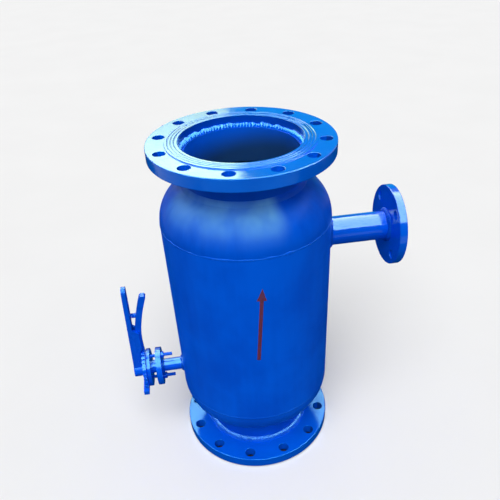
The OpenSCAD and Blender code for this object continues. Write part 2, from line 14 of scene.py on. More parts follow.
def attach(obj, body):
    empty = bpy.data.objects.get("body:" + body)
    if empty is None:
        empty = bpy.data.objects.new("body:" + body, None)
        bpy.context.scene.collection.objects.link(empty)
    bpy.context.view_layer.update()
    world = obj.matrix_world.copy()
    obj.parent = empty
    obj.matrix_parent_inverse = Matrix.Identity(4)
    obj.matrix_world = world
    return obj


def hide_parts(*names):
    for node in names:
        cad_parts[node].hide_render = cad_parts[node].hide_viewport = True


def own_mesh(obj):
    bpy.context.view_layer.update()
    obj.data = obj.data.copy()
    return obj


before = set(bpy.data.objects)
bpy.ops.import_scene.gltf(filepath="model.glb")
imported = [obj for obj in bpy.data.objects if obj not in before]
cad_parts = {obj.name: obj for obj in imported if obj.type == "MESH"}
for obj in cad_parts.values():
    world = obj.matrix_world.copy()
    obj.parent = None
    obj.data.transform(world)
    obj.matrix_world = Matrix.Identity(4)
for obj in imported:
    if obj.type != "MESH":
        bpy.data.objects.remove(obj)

LOG = logging.getLogger("filter_looks")
MM = 0.001
SHELL_R = 162.5 * MM
NECK_R = 109.5 * MM
RING_STEPS = 1500
BRANCH_STEPS = 900
NOISE_SHIFT = np.array([1.0, 1.7, -1.0])

RGB = tuple[float, float, float]
Place = tuple[float, float, float]
Span = tuple[float, float]
Socket = bpy.types.NodeSocket
Material = bpy.types.Material
Piece = bpy.types.Object
Source = Socket | float | tuple


@dataclass(frozen=True)
class Grain:
    """A noise over the object's own coordinates.

    The scale gives its waves per metre along X, Y and Z, and the shift makes it differ from other noises.
    """

    scale: Place
    octaves: float
    fineness: float
    shift: float


class Marks(Enum):
    """Way that brush marks run."""

    UPRIGHT = Grain((70.0, 70.0, 3.0), 3.0, 0.6, 7.7)
    LEVEL = Grain((3.0, 70.0, 70.0), 3.0, 0.6, 7.7)


class BeadShape(Enum):
    """Section of a weld bead."""

    FILLET = "fillet"
    CAP = "cap"


class NodeSketch:
    """Lays out the nodes of a material or of the world.

    An input takes a socket, which is linked to it, or a plain number or colour, which is set on it.
    """

    def __init__(self, owner: Material | bpy.types.World) -> None:
        """Opens the node tree of a material or of the world."""
        owner.use_nodes = True
        self.tree = owner.node_tree

    def put(self, target: Socket, value: Source) -> None:
        """Gives an input what it takes.

        Args:
            target: The input.
            value: A socket, or a plain number or colour.
        """
        if isinstance(value, Socket):
            self.tree.links.new(value, target)
        else:
            target.default_value = value

    def add(self, kind: str, inputs: dict[int | str, Source], **values: float | str) -> bpy.types.Node:
        """Makes a node.

        Args:
            kind: Node type, without the ShaderNode prefix.
            inputs: What its inputs take, by number or name.
            values: Its properties by name.

        Returns:
            The new node.
        """
        node = self.tree.nodes.new("ShaderNode" + kind)
        for key, value in values.items():
            setattr(node, key, value)
        for key, value in inputs.items():
            self.put(node.inputs[key], value)
        return node

    def math(self, operation: str, *values: Socket | float) -> Socket:
        """Result of a Math node that takes the values in order."""
        return self.add("Math", dict(enumerate(values)), operation=operation).outputs[0]

    def times(self, *values: Socket | float) -> Socket:
        """Product of two or more values.

        Args:
            values: Sockets or plain numbers.

        Returns:
            The product.
        """
        product, *others = values
        for value in others:
            product = self.math("MULTIPLY", product, value)
        return product

    def weigh(self, first: Socket, second: Socket, share: float) -> Socket:
        """Sum of two values, in which the second has the given share."""
        return self.math("ADD", self.times(first, 1.0 - share), self.times(second, share))

    def span(self, value: Socket, limits: Span, to: Span = (0.0, 1.0)) -> Socket:
        """Carries a value smoothly from one range to another.

        Args:
            value: The value.
            limits: Values that give the two ends of the new range.
            to: The two ends of the new range.

        Returns:
            The carried value, held inside the new range.
        """
        ends = {"From Min": limits[0], "From Max": limits[1], "To Min": to[0], "To Max": to[1]}
        return self.add("MapRange", {"Value": value, **ends}, interpolation_type="SMOOTHSTEP").outputs[0]

    def mix(self, share: Socket, first: RGB | Socket, second: RGB | Socket) -> Socket:
        """Colour that is the first at share 0 and the second at share 1."""
        low, high = ((*colour, 1.0) if isinstance(colour, tuple) else colour for colour in (first, second))
        return self.add("Mix", {"Factor": share, 6: low, 7: high}, data_type="RGBA").outputs[2]

    def bump(self, height: Socket, depth: float, below: Socket | None = None) -> Socket:
        """Turns a height into a shading normal.

        Args:
            height: Height from 0 to 1.
            depth: Depth in metres of the full height.
            below: Normal that this one lies on.

        Returns:
            The normal.
        """
        inputs = {"Strength": 1.0, "Distance": depth, "Height": height}
        if below is not None:
            inputs["Normal"] = below
        return self.add("Bump", inputs).outputs[0]

    def axes(self, vector: Socket) -> tuple[Socket, ...]:
        """The X, Y and Z of a vector."""
        return tuple(self.add("SeparateXYZ", {0: vector}).outputs)

    def dot(self, first: Socket, second: Socket) -> Socket:
        """Dot product of two vectors."""
        return self.add("VectorMath", {0: first, 1: second}, operation="DOT_PRODUCT").outputs["Value"]

    def seen(self) -> Socket:
        """Tells the rays that show a surface from those that only carry light.

        Returns:
            1 for camera, mirror and see-through rays, 0 for light that only bounces.
        """
        rays = self.add("LightPath", {}).outputs
        mirrored = self.math("MAXIMUM", rays["Is Camera Ray"], rays["Is Glossy Ray"])
        return self.math("MAXIMUM", mirrored, rays["Is Transmission Ray"])


class SurfaceSketch(NodeSketch):
    """Lays out the nodes of one new material round a Principled shader."""

    def __init__(self, name: str) -> None:
        """Starts the material.

        Args:
            name: Name of the new material.
        """
        self.material = bpy.data.materials.new(name)
        super().__init__(self.material)
        self.tree.nodes.clear()
        self.output = self.add("OutputMaterial", {})
        self.shader = self.add("BsdfPrincipled", {})
        self.put(self.output.inputs[0], self.shader.outputs[0])
        self.place = self.add("TexCoord", {}).outputs["Object"]

    def coat(self, **values: Source) -> Material:
        """Fills sockets of the shader, named with _ for each blank.

        Args:
            values: What each socket takes.

        Returns:
            The finished material.
        """
        for key, value in values.items():
            self.put(self.shader.inputs[key.replace("_", " ")], value)
        return self.material

    def noise(self, grain: Grain) -> Socket:
        """Value of a noise over the object's own coordinates.

        Args:
            grain: The noise.

        Returns:
            The value, from 0 to 1.
        """
        shift = tuple(grain.shift * NOISE_SHIFT)
        placed = self.add("Mapping", {"Vector": self.place, "Location": shift, "Scale": grain.scale})
        inputs = {"Scale": 1.0, "Detail": grain.octaves, "Roughness": grain.fineness}
        return self.add("TexNoise", {"Vector": placed.outputs[0], **inputs}).outputs[0]

    def across(self) -> Socket:
        """Place across the vessel's axis, with the height left out."""
        return self.add("VectorMath", {0: self.place, 1: (1.0, 1.0, 0.0)}, operation="MULTIPLY").outputs[0]


@dataclass(frozen=True)
class DustAndPaintedSheen:
    """Dust with a painted sheen on what faces up on the upper head.

    Round the axis, it grows across the front from the lever's side and ends short of the drain. By height, it
    grows up to the neck's bead and thins out on the bead, and this growth is painted light that lifts the
    shade under the flange. Each limit is a place, a bearing or a slope.
    """

    facing: Span = (0.10, 0.55)
    grown: Span = (-0.98, 0.15)
    grown_share: Span = (0.62, 1.0)
    ended: Span = (0.44, 0.20)
    front: Span = (-0.05, -0.40)
    rise: Span = (0.576, 0.626)
    shade_lift_share: Span = (0.18, 1.0)
    bead: Span = (0.624, 0.636)
    bead_share: Span = (1.0, 0.85)
    patches: Grain = Grain((22.0, 22.0, 3.0), 2.0, 0.5, 6.6)
    patch_limits: Span = (0.34, 0.66)
    patch_share: Span = (0.5, 1.0)

    def share(self, s: SurfaceSketch, normal: Socket) -> Socket:
        """Works out the share of dust and painted sheen at a place.

        Args:
            s: The material's sketch.
            normal: Normal of the surface.

        Returns:
            The share of dust, from 0 to 1.
        """
        facing_up = s.span(s.axes(normal)[2], self.facing)
        bearing = s.add("VectorMath", {0: s.across()}, operation="NORMALIZE")
        x, y, _ = s.axes(bearing.outputs[0])
        lee = s.times(s.span(x, self.grown, self.grown_share), s.span(x, self.ended), s.span(y, self.front))
        height = s.axes(s.place)[2]
        # Share that grows with height: painted light that lifts the shade under the flange.
        lifted_in_shade = s.span(height, self.rise, self.shade_lift_share)
        dust_height_and_shade_lift = s.times(lifted_in_shade, s.span(height, self.bead, self.bead_share))
        patchy = s.span(s.noise(self.patches), self.patch_limits, self.patch_share)
        return s.times(facing_up, lee, dust_height_and_shade_lift, patchy)


@dataclass(frozen=True)
class ShadedLining:
    """Painted shade inside the vessel: sprayed blue at the mouths, darkening to near-black blue further in.

    The sign of the normal's product with the place across the axis tells inside from outside. The reach of
    the spray is the distance from the middle height, less a lean towards one side.
    """

    sprayed: RGB = (0.0, 0.13, 0.88)
    painted_shade_deep: RGB = (0.010, 0.050, 0.16)
    middle: float = 0.352
    lean: float = 0.17
    spray: Span = (0.345, 0.280)
    inside: Span = (-0.002, -0.02)

    def over(self, s: SurfaceSketch, normal: Socket, coat: Socket) -> Socket:
        """Colour of both sides of a wall, with painted shade on the inside.

        Args:
            s: The material's sketch.
            normal: Normal of the surface.
            coat: Colour of the outside.

        Returns:
            The colour.
        """
        x, _, z = s.axes(s.place)
        from_middle = s.math("ABSOLUTE", s.math("SUBTRACT", z, self.middle))
        reach = s.math("SUBTRACT", from_middle, s.times(x, self.lean))
        # Painted shade: darker further in from the mouths, leaning towards one side.
        inner = s.mix(s.span(reach, self.spray), self.sprayed, self.painted_shade_deep)
        return s.mix(s.span(s.dot(s.across(), normal), self.inside), coat, inner)


@dataclass(frozen=True)
class BluePaint:
    """Enamel sprayed and brushed over steel.

    The colour wanders between a deep and a fresh tone with brush marks that run one way, and turns to a
    lighter tone along sharp edges, for thinned paint and a painted edge highlight. A hazy paint is greyed by
    dust with a painted sheen, and a lined one has painted shade on its inner side.
    """

    name: str
    deep: RGB = (0.0, 0.083, 0.69)
    fresh: RGB = (0.0, 0.117, 0.84)
    tint: RGB = (0.22, 0.62, 0.72)
    specular: float = 0.5
    smooth: float = 0.16
    dull: float = 0.34
    marks: Marks = Marks.UPRIGHT
    streaks: float = 0.14
    peel: float = 0.00006
    wave: float = 0.0004
    shaded_lining: ShadedLining | None = None
    haze: float = 0.0
    dust_and_sheen: DustAndPaintedSheen = DustAndPaintedSheen()
    # Dust tone, which is also a painted sheen on the upper head.
    dust_and_sheen_tone: RGB = (0.14, 0.43, 0.80)
    dust_dull: float = 0.10
    edge: float = 0.0008
    # Lighter tone along edges: thinned paint and a painted edge highlight.
    edge_wear_and_highlight_tone: RGB = (0.03, 0.22, 0.84)
    edge_bend: Span = (0.995, 0.86)
    edge_share: Span = (0.0, 0.55)
    edge_limits: Span = (0.4, 0.6)
    edge_patch: Span = (0.35, 1.0)
    cloud: Grain = Grain((6.0, 6.0, 5.0), 4.0, 0.6, 3.1)
    tone_limits: Span = (0.34, 0.66)
    gloss: Grain = Grain((38.0, 38.0, 30.0), 3.0, 0.6, 12.4)
    gloss_limits: Span = (0.36, 0.64)
    gloss_streaks: float = 0.25
    waves: Grain = Grain((26.0, 26.0, 20.0), 2.0, 0.4, 5.5)
    skin: Grain = Grain((420.0, 420.0, 420.0), 2.0, 0.5, 1.9)

    def build(self) -> Material:
        """Lays out the paint's nodes.

        Returns:
            The material.
        """
        s = SurfaceSketch(self.name)
        normal = s.add("NewGeometry", {}).outputs["Normal"]
        cloud = s.noise(self.cloud)
        streak = s.noise(self.marks.value)
        tone = s.weigh(cloud, streak, self.streaks)
        colour = s.mix(s.span(tone, self.tone_limits), self.deep, self.fresh)
        gloss = s.weigh(s.noise(self.gloss), streak, self.gloss_streaks)
        rough = s.span(gloss, self.gloss_limits, (self.smooth, self.dull))
        if self.haze:
            # Dust with a painted sheen, made lighter where the flange's shade falls.
            dust_and_sheen = s.times(self.dust_and_sheen.share(s, normal), self.haze)
            colour = s.mix(dust_and_sheen, colour, self.dust_and_sheen_tone)
            rough = s.math("ADD", rough, s.times(dust_and_sheen, self.dust_dull))
        rounded = s.add("Bevel", {"Radius": self.edge}, samples=4).outputs[0]
        # Lighter along sharp edges: thinned paint and a painted edge highlight.
        bend = s.span(s.dot(rounded, normal), self.edge_bend, self.edge_share)
        worn_and_highlit = s.times(bend, s.span(cloud, self.edge_limits, self.edge_patch))
        colour = s.mix(worn_and_highlit, colour, self.edge_wear_and_highlight_tone)
        # Painted shade on the inner side of the wall.
        if self.shaded_lining:
            colour = self.shaded_lining.over(s, normal, colour)
        relief = s.bump(s.noise(self.waves), self.wave, rounded)
        for height in (streak, s.noise(self.skin)):
            relief = s.bump(height, self.peel, relief)
        return s.coat(
            Base_Color=colour,
            Roughness=rough,
            Normal=relief,
            Specular_IOR_Level=self.specular,
            Specular_Tint=(*self.tint, 1.0),
            IOR=1.52,
        )


@dataclass(frozen=True)
class StencilPaint:
    """Red marking paint dabbed through a stencil, patchy where the blue shows through."""

    name: str
    red: RGB = (0.135, 0.014, 0.032)
    thin: RGB = (0.070, 0.022, 0.11)
    dabs: Grain = Grain((120.0, 120.0, 70.0), 4.0, 0.65, 2.2)
    cover: Grain = Grain((420.0, 420.0, 420.0), 2.0, 0.6, 8.3)
    cover_share: float = 0.3
    patch_limits: Span = (0.40, 0.66)
    patch_share: Span = (0.0, 0.8)
    gloss_limits: Span = (0.3, 0.7)
    gloss: Span = (0.34, 0.52)
    depth: float = 0.00012

    def build(self) -> Material:
        """Lays out the marking paint's nodes.

        Returns:
            The material.
        """
        s = SurfaceSketch(self.name)
        cover = s.noise(self.cover)
        patch = s.weigh(s.noise(self.dabs), cover, self.cover_share)
        return s.coat(
            Base_Color=s.mix(s.span(patch, self.patch_limits, self.patch_share), self.red, self.thin),
            Roughness=s.span(cover, self.gloss_limits, self.gloss),
            Normal=s.bump(patch, self.depth),
            Specular_IOR_Level=0.35,
        )


@dataclass(frozen=True)
class TurnedMetal:
    """Bare metal with fine tool marks round the axis, a slight tarnish and uneven gloss."""

    name: str
    bright: RGB
    dark: RGB
    smooth: float = 0.22
    dull: float = 0.42
    metallic: float = 1.0
    marks: Grain = Grain((16.0, 16.0, 900.0), 2.0, 0.5, 4.1)
    tarnish: Grain = Grain((22.0, 22.0, 22.0), 4.0, 0.6, 9.6)
    tarnish_limits: Span = (0.38, 0.66)
    gloss_limits: Span = (0.36, 0.64)
    depth: float = 0.00004

    def build(self) -> Material:
        """Lays out the metal's nodes.

        Returns:
            The material.
        """
        s = SurfaceSketch(self.name)
        line = s.noise(self.marks)
        tarnish = s.noise(self.tarnish)
        return s.coat(
            Base_Color=s.mix(s.span(tarnish, self.tarnish_limits), self.bright, self.dark),
            Roughness=s.span(s.weigh(line, tarnish, 0.5), self.gloss_limits, (self.smooth, self.dull)),
            Normal=s.bump(line, self.depth),
            Metallic=self.metallic,
            Specular_IOR_Level=0.2,
        )


@dataclass(frozen=True)
class WovenWire:
    """Fine stainless cloth rolled into a tube about the vessel's axis.

    Two sets of wires cross: one set goes round, as a wave of the height, and the other stands upright,
    as a wave of the angle times the radius.
    """

    name: str
    radius: float
    pitch: float = 0.0021
    gap: RGB = (0.10, 0.10, 0.11)
    wire: RGB = (0.60, 0.61, 0.62)
    wear: Grain = Grain((30.0, 30.0, 30.0), 4.0, 0.6, 1.3)
    wear_share: float = 0.3
    weave_limits: Span = (0.2, 0.8)
    gloss_limits: Span = (0.35, 0.65)
    gloss: Span = (0.28, 0.45)
    depth: float = 0.0003

    def build(self) -> Material:
        """Lays out the wire cloth's nodes.

        Returns:
            The material.
        """
        s = SurfaceSketch(self.name)
        x, y, z = s.axes(s.place)
        count = round(2 * math.pi * self.radius / self.pitch)
        around = s.math("SINE", s.times(s.math("ARCTAN2", y, x), float(count)))
        level = s.math("SINE", s.times(z, 2 * math.pi / self.pitch))
        weave = s.math("MULTIPLY_ADD", s.times(around, level), 0.5, 0.5)
        wear = s.noise(self.wear)
        shown = s.span(s.weigh(weave, wear, self.wear_share), self.weave_limits)
        return s.coat(
            Base_Color=s.mix(shown, self.gap, self.wire),
            Roughness=s.span(wear, self.gloss_limits, self.gloss),
            Normal=s.bump(weave, self.depth),
            Metallic=1.0,
        )


@dataclass(frozen=True)
class BraidedPacking:
    """Graphited braid, dark and greasy, with a slanting plait."""

    name: str
    dark: RGB = (0.012, 0.012, 0.013)
    grey: RGB = (0.05, 0.05, 0.052)
    grease: Grain = Grain((90.0, 90.0, 90.0), 3.0, 0.6, 6.2)
    plaits: float = 130.0
    twist: float = 1.5
    gloss_limits: Span = (0.3, 0.7)
    gloss: Span = (0.45, 0.75)
    depth: float = 0.0004

    def build(self) -> Material:
        """Lays out the braid's nodes.

        Returns:
            The material.
        """
        s = SurfaceSketch(self.name)
        inputs = {"Vector": s.place, "Scale": self.plaits, "Distortion": self.twist}
        plait = s.add("TexWave", inputs, wave_type="BANDS", bands_direction="DIAGONAL")
        grease = s.noise(self.grease)
        return s.coat(
            Base_Color=s.mix(grease, self.dark, self.grey),
            Roughness=s.span(grease, self.gloss_limits, self.gloss),
            Normal=s.bump(plait.outputs["Fac"], self.depth),
        )


@dataclass(frozen=True)
class Finishes:
    """Every finish of the filter, built once."""

    shell: Material
    head: Material
    flange: Material
    shaded_base_flange: Material
    branch: Material
    neck: Material
    weld: Material
    highlit_mouth_weld: Material
    seam: Material
    shaded_drain_weld: Material
    plate: Material
    casting: Material
    marking: Material
    steel: Material
    scaled: Material
    bronze: Material
    mesh: Material
    packing: Material

    @classmethod
    def build(cls) -> "Finishes":
        """Builds the materials.

        Returns:
            The set of finishes.
        """
        wall = BluePaint("shell_paint", specular=0.03, smooth=0.28, dull=0.42, shaded_lining=ShadedLining())
        flange = BluePaint(
            "flange_paint", deep=(0.0, 0.104, 0.69), fresh=(0.0, 0.128, 0.78), tint=(0.12, 0.62, 0.72),
            specular=0.38, smooth=0.09, dull=0.15, marks=Marks.LEVEL, wave=0.0001,
            # Darker inside the bore: painted shade.
            shaded_lining=ShadedLining(sprayed=(0.0, 0.07, 0.52)),
        )
        made = dict(
            shell=wall,
            # Head paint: dust with a painted sheen, and painted light under the flange.
            head=replace(
                wall, name="head_paint", deep=(0.0, 0.068, 0.58), fresh=(0.0, 0.094, 0.70), specular=0.02,
                dull=0.40, wave=0.0005, streaks=0.3, haze=0.95,
            ),
            flange=flange,
            # Darker copy of the flange paint for the bottom flange: painted shade from the vessel above.
            shaded_base_flange=replace(
                flange, name="base_flange_paint", deep=(0.0, 0.084, 0.62), fresh=(0.0, 0.105, 0.70),
            ),
            branch=BluePaint(
                "branch_paint", tint=(0.38, 0.68, 0.70), smooth=0.07, dull=0.13, marks=Marks.LEVEL,
                wave=0.0001,
            ),
            # Darker copy of the shell paint for the necks: painted shade under the flanges.
            neck=replace(
                wall, name="neck_shaded_paint", deep=(0.0, 0.060, 0.48), fresh=(0.0, 0.085, 0.60), specular=0.05,
                smooth=0.30, dull=0.50,
            ),
            weld=BluePaint(
                "weld_paint", deep=(0.0, 0.068, 0.52), fresh=(0.0, 0.10, 0.62), specular=0.7, smooth=0.12,
                dull=0.26, wave=0.0002,
            ),
            # Lighter, greener paint for the welds inside the mouths: painted highlight.
            highlit_mouth_weld=BluePaint(
                "mouth_weld_paint", deep=(0.0, 0.09, 0.62), fresh=(0.0, 0.18, 0.80), tint=(0.22, 0.74, 0.86),
                specular=0.55, smooth=0.08, dull=0.18,
            ),
            seam=BluePaint("seam_paint", specular=0.18, smooth=0.18, wave=0.0003),
            # Darker paint for the drain's welds: painted shade in the corners round the pipe.
            shaded_drain_weld=BluePaint(
                "drain_weld_paint", deep=(0.0, 0.056, 0.46), fresh=(0.0, 0.080, 0.60), specular=0.06,
                smooth=0.20, wave=0.0003,
            ),
            plate=BluePaint("plate_paint", specular=0.6, smooth=0.10, dull=0.22, peel=0.0001, wave=0.0003),
            casting=BluePaint("casting_paint", specular=0.3, dull=0.30, peel=0.0001, wave=0.0003),
            marking=StencilPaint("marking_paint"),
            steel=TurnedMetal("turned_steel", (0.64, 0.65, 0.66), (0.46, 0.47, 0.48)),
            scaled=TurnedMetal(
                "scaled_steel", (0.105, 0.115, 0.145), (0.065, 0.070, 0.090), smooth=0.5, dull=0.7,
                metallic=0.0,
            ),
            bronze=TurnedMetal("bush_bronze", (0.66, 0.44, 0.18), (0.46, 0.29, 0.12)),
            mesh=WovenWire("wire_cloth", 105.0 * MM),
            packing=BraidedPacking("packing_braid"),
        )
        return cls(**{name: finish.build() for name, finish in made.items()})


def mesh_object(name: str, points: np.ndarray, faces: np.ndarray) -> Piece:
    """Makes a smooth-shaded object at the origin from points and faces.

    Args:
        name: Name of the object and its mesh.
        points: Corners in metres, three numbers each.
        faces: Corner numbers of each face, one row each.

    Returns:
        The object, linked to the scene.
    """
    mesh = bpy.data.meshes.new(name)
    mesh.from_pydata(points.reshape(-1, 3), [], faces)
    mesh.polygons.foreach_set("use_smooth", np.ones(len(mesh.polygons), bool))
    mesh.update()
    made = bpy.data.objects.new(name, mesh)
    bpy.context.scene.collection.objects.link(made)
    return made


def grid_faces(rows: int, columns: int, wrap_rows: bool, wrap_columns: bool) -> np.ndarray:
    """Quads of a grid, where corner (i, j) meets (i+1, j), (i+1, j+1) and (i, j+1).

    Args:
        rows: Number of rows of corners.
        columns: Number of corners in a row.
        wrap_rows: True if the last row joins the first.
        wrap_columns: True if the last corner of a row joins its first.

    Returns:
        Corner numbers, four to a face.
    """
    down = np.arange(rows if wrap_rows else rows - 1)
    along = np.arange(columns if wrap_columns else columns - 1)
    i, j = np.meshgrid(down, along, indexing="ij")
    k, m = (i + 1) % rows, (j + 1) % columns
    corners = [i * columns + j, k * columns + j, k * columns + m, i * columns + m]
    return np.stack(corners, axis=-1).reshape(-1, 4)


def outward(points: np.ndarray, faces: np.ndarray) -> np.ndarray:
    """Turns the faces of a closed surface so that they point outwards.

    The signed volume is a sixth of the sum of a . (b x c) over the triangles of every face.

    Args:
        points: Corners.
        faces: Quads.

    Returns:
        The quads, reversed if the volume came out negative.
    """
    p = points.reshape(-1, 3)
    a, b, c, d = (p[faces[:, n]] for n in range(4))
    volume = np.einsum("ij,ij->", a, np.cross(b, c)) + np.einsum("ij,ij->", a, np.cross(c, d))
    return faces if volume > 0 else faces[:, ::-1]


def close_poles(piece: Piece) -> None:
    """Merges the doubled points where a grid closes to a point, and turns every face outwards.

    Args:
        piece: The piece.
    """
    work = bmesh.new()
    work.from_mesh(piece.data)
    bmesh.ops.remove_doubles(work, verts=work.verts, dist=1e-7)
    bmesh.ops.recalc_face_normals(work, faces=work.faces)
    work.to_mesh(piece.data)
    work.free()
    piece.data.update()


def dress(piece: Piece, finish: Material) -> None:
    """Gives a piece one finish in its only material slot."""
    piece.data.materials.clear()
    piece.data.materials.append(finish)


def paint(finish: Material, *nodes: str) -> None:
    """Gives a finish to CAD nodes that keep their shape.

    Args:
        finish: The material.
        nodes: The CAD nodes.
    """
    for node in nodes:
        dress(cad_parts[node], finish)
        LOG.info("node %s keeps its shape and takes %s", node, finish.name)


def fit(piece: Piece, finish: Material, *nodes: str, body: str = "vessel", slot: str = "blue_paint") -> Piece:
    """Dresses a new piece, lets it ride on a body and hides the nodes that it stands for.

    Args:
        piece: The new piece.
        finish: Its material.
        nodes: CAD nodes that it replaces.
        body: Body that carries it.
        slot: Material slot of the record; not used.

    Returns:
        The piece.
    """
    dress(piece, finish)
    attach(piece, body)
    if nodes:
        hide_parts(*nodes)
    LOG.info("piece %s rides on %s: %d faces", piece.name, body, len(piece.data.polygons))
    return piece


def full_turn(steps: int) -> np.ndarray:
    """Even angles round a loop, from 0 to just under 2 pi."""
    return np.linspace(0, 2 * np.pi, steps, endpoint=False)


def ring(radius: float, centre: Place, steps: int, level: bool = False) -> tuple[np.ndarray, np.ndarray]:
    """Circle about an upright axis, or about a level one along X.

    Args:
        radius: Radius in metres.
        centre: Centre of the circle.
        steps: Number of points.
        level: True for the level axis.

    Returns:
        The points, and the unit vectors that point away from the axis.
    """
    turn = full_turn(steps)
    away = np.stack([np.cos(turn), np.sin(turn), np.zeros(steps)], axis=1)
    if level:
        away = np.roll(away, 1, axis=1)
    return away * radius + centre, away


def loop_noise(turn: np.ndarray, seed: int, low: int, high: int) -> np.ndarray:
    """Uneven wave round a loop: a sum of sines of whole counts with chosen phases, about -1 to 1.

    Args:
        turn: Angle round the loop, 0 to 2 pi.
        seed: Number that picks the phases.
        low: Fewest waves round the loop.
        high: Most waves round the loop.

    Returns:
        The wave at each angle.
    """
    sines, scale = 9, 1.8
    pick = np.random.default_rng(seed)
    counts = pick.integers(low, high + 1, sines)
    phases = pick.uniform(0, 2 * np.pi, sines)
    sizes = pick.uniform(0.5, 1.0, sines)
    return (sizes * np.sin(np.outer(turn, counts) + phases)).sum(1) / sizes.sum() * scale


def sunk(curve: np.ndarray, depth: float) -> np.ndarray:
    """Stretches a curve from 0 to 1 so that it starts below 0 by the depth and still ends at 1."""
    return curve * (1 + depth) - depth


@dataclass(frozen=True)
class WeldBead:
    """Hand-laid weld run in the corner between two surfaces, or flat over a seam.

    The bead is a section carried round a closed path. With q from 0 to a right angle, a fillet's section is
    the first leg times cos q to the power p plus the second leg times sin q to the power p, hollow where p
    is over 2. With q from 0 to two right angles, a cap's section is the first leg times cos q plus the
    second leg times a power of sin q. The legs wander with loop noise, and bowed ripples lie across the run.
    """

    node: str
    root: np.ndarray
    first: np.ndarray | Place
    second: np.ndarray | Place
    first_leg: float
    second_leg: float
    seed: int
    shape: BeadShape = BeadShape.FILLET
    ripple: float = 3.4 * MM
    fewest: int = 8
    lump: float = 0.16
    crest: float = 0.10
    coarse: int = 7
    bulge: float = 1.45
    toe: float = 0.04
    cap_power: float = 0.8
    cap_toe: float = 0.2
    cap_crest: float = 3.5
    cap_root: float = 0.5 * MM
    wander: float = 1.6
    bow: float = 2.4
    peak: float = 1.5
    sharp: float = math.radians(60)
    across: int = 13

    def build(self) -> Piece:
        """Works out the bead's surface.

        Returns:
            The piece, named for its node.
        """
        steps = len(self.root)
        turn = full_turn(steps)
        length = np.linalg.norm(np.diff(self.root, axis=0, append=self.root[:1]), axis=1).sum()
        waves = max(self.fewest, round(length / self.ripple))
        lumps = loop_noise(turn, self.seed, low=4, high=max(6, waves // self.coarse))
        grow = 1 + self.lump * lumps[:, None]
        share = np.linspace(0, 1, self.across)
        bow = 4 * share * (1 - share)
        wander = loop_noise(turn, self.seed + 1, low=5, high=waves // 4)[:, None] * self.wander
        phase = waves * turn[:, None] + wander + bow * self.bow
        crest = 1 - np.abs(np.sin(phase / 2)) ** self.peak
        first = np.broadcast_to(self.first, self.root.shape)
        second = np.broadcast_to(self.second, self.root.shape)
        if self.shape is BeadShape.FILLET:
            q = share * np.pi / 2
            along = sunk(np.cos(q) ** self.bulge, self.toe) * self.first_leg
            beyond = sunk(np.sin(q) ** self.bulge, self.toe) * self.second_leg
            height = min(self.first_leg, self.second_leg)
            away = first + second
            floor = self.root
        else:
            q = share * np.pi
            along = np.cos(q) * self.first_leg
            beyond = sunk(np.sin(q) ** self.cap_power, self.cap_toe) * self.second_leg
            height = self.cap_crest * self.second_leg
            away = second
            floor = self.root - second * self.cap_root
        away = away / np.linalg.norm(away, axis=1, keepdims=True)
        swell = crest * bow * self.crest * height
        skin = (
            self.root[:, None, :]
            + (grow * along)[:, :, None] * first[:, None, :]
            + (grow * beyond)[:, :, None] * second[:, None, :]
            + swell[:, :, None] * away[:, None, :]
        )
        points = np.concatenate([skin, floor[:, None, :]], axis=1)
        faces = outward(points, grid_faces(steps, self.across + 1, True, True))
        made = mesh_object(self.node + "_run", points, faces)
        made.data.set_sharp_from_angle(angle=self.sharp)
        return made

    def lay(self, finish: Material) -> None:
        """Builds the bead and puts it in the place of its node."""
        fit(self.build(), finish, self.node)


def corner_bead(
    node: str, radius: float, centre: Place, turned: Span, legs: Span, seed: int,
    level: bool = False, slope: float = 0.0, **look: float,
) -> WeldBead:
    """Bead in the corner at a radius from an upright axis, or from a level one along X.

    Args:
        node: CAD node that the bead stands for.
        radius: Radius of the corner.
        centre: Centre of the corner's circle.
        turned: 1 or -1 for each leg: away from the axis or to it, and along the axis or back.
        legs: Lengths of the two legs.
        seed: Number that picks the bead's lumps.
        level: True for the level axis.
        slope: Fall of the first leg, where it lies on a cone.
        look: Other fields of the bead.

    Returns:
        The bead.
    """
    root, away = ring(radius, centre, BRANCH_STEPS if level else RING_STEPS, level)
    along = np.array((turned[1], 0, 0) if level else (0, 0, turned[1]), float)
    return WeldBead(node, root, turned[0] * away - slope * along, along, *legs, seed, **look)


def softened(node: str, radius: float) -> Piece:
    """Copy of a CAD node with its points merged and its edges rounded, as paint rounds them.

    Args:
        node: CAD node to copy.
        radius: Width of the rounding in metres.

    Returns:
        The piece, named for its node.
    """
    doubled, thinnest = 2e-6, 1e-6
    flat, sharp, rounded = math.radians(0.4), math.radians(32), math.radians(38)
    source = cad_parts[node].data
    points = np.empty(len(source.vertices) * 3, np.float32)
    source.vertices.foreach_get("co", points)
    corners = np.empty(len(source.loops), np.int32)
    source.loops.foreach_get("vertex_index", corners)
    made = mesh_object(node + "_coat", points, corners.reshape(-1, 3))
    work = bmesh.new()
    work.from_mesh(made.data)
    bmesh.ops.remove_doubles(work, verts=work.verts, dist=doubled)
    bmesh.ops.dissolve_degenerate(work, edges=work.edges, dist=thinnest)
    bmesh.ops.dissolve_limit(work, angle_limit=flat, verts=work.verts, edges=work.edges)
    work.to_mesh(made.data)
    work.free()
    made.data.polygons.foreach_set("use_smooth", np.ones(len(made.data.polygons), bool))
    made.data.set_sharp_from_angle(angle=sharp)
    rounding = made.modifiers.new("rounding", "BEVEL")
    rounding.width = radius
    rounding.segments = 2
    rounding.limit_method = "ANGLE"
    rounding.angle_limit = rounded
    rounding.use_clamp_overlap = True
    rounding.harden_normals = True
    return made


